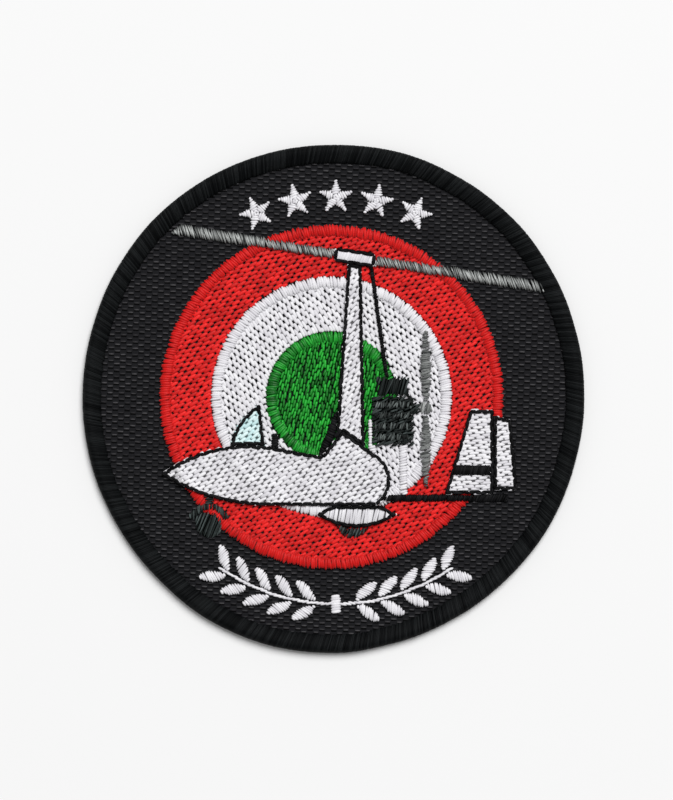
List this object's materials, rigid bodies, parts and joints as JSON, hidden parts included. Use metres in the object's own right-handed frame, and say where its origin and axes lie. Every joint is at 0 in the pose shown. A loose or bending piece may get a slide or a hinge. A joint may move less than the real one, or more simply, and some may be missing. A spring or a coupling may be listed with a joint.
{
  "type": "embroidered cloth patch",
  "caption": "Round embroidered cloth patch with a black overcast border, a red, white and green roundel and a stitched gyrocopter, sewn or ironed on to clothing.",
  "frame": {"origin": "centre of the back face, at the middle of the round outline", "axes": "+Z out of the stitched face, +Y to the top of the picture, +X to the viewer's right"},
  "size_m": [0.08, 0.08, 0.0021],
  "materials": {
    "seal_film": "smooth, slightly glossy heat-seal film",
    "backing_felt": "matt non-woven felt",
    "ground_cloth": "black woven oxford cloth",
    "border_thread": "black overcast embroidery thread, soft sheen",
    "red_thread": "red embroidery thread, soft sheen",
    "white_thread": "white embroidery thread, soft sheen",
    "green_thread": "green embroidery thread, soft sheen",
    "grey_thread": "grey embroidery thread, soft sheen",
    "charcoal_thread": "charcoal embroidery thread, soft sheen",
    "cyan_thread": "pale cyan embroidery thread, soft sheen",
    "line_thread": "black run-stitched thread, soft sheen"
  },
  "bodies": {
    "root": {"backing_felt": "backing_felt", "border": "border_thread", "control_rod": "line_thread", "cooling_fins": "grey_thread", "cylinder_head": "charcoal_thread", "engine_block": "charcoal_thread", "engine_posts": "white_thread", "green_filling": "green_thread", "green_satin_edge": "green_thread", "ground_cloth": "ground_cloth", "heat_seal_film": "seal_film", "instrument_panel": "line_thread", "keel_tube": "line_thread", "laurel_leaves_left": "white_thread", "laurel_leaves_right": "white_thread", "laurel_stem_left": "white_thread", "laurel_stem_right": "white_thread", "laurel_tie": "white_thread", "main_wheel": "charcoal_thread", "mast": "white_thread", "mast_line": "line_thread", "nose_fork": "charcoal_thread", "nose_guard": "charcoal_thread", "nose_wheel": "charcoal_thread", "pod": "white_thread", "pod_line": "line_thread", "propeller": "grey_thread", "red_filling": "red_thread", "red_satin_edge": "red_thread", "rotor_blade_front": "grey_thread", "rotor_blade_rear": "grey_thread", "rotor_head": "white_thread", "rotor_head_line": "line_thread", "rudder": "white_thread", "rudder_line": "line_thread", "seat": "line_thread", "spinner": "grey_thread", "star_1": "white_thread", "star_2": "white_thread", "star_3": "white_thread", "star_4": "white_thread", "star_5": "white_thread", "tail_fin": "white_thread", "tail_fin_line": "line_thread", "tailplane": "line_thread", "wheel_spat": "white_thread", "wheel_spat_line": "line_thread", "white_filling": "white_thread", "white_satin_edge": "white_thread", "windscreen": "cyan_thread", "windscreen_line": "line_thread"}
  },
  "joints": []
}
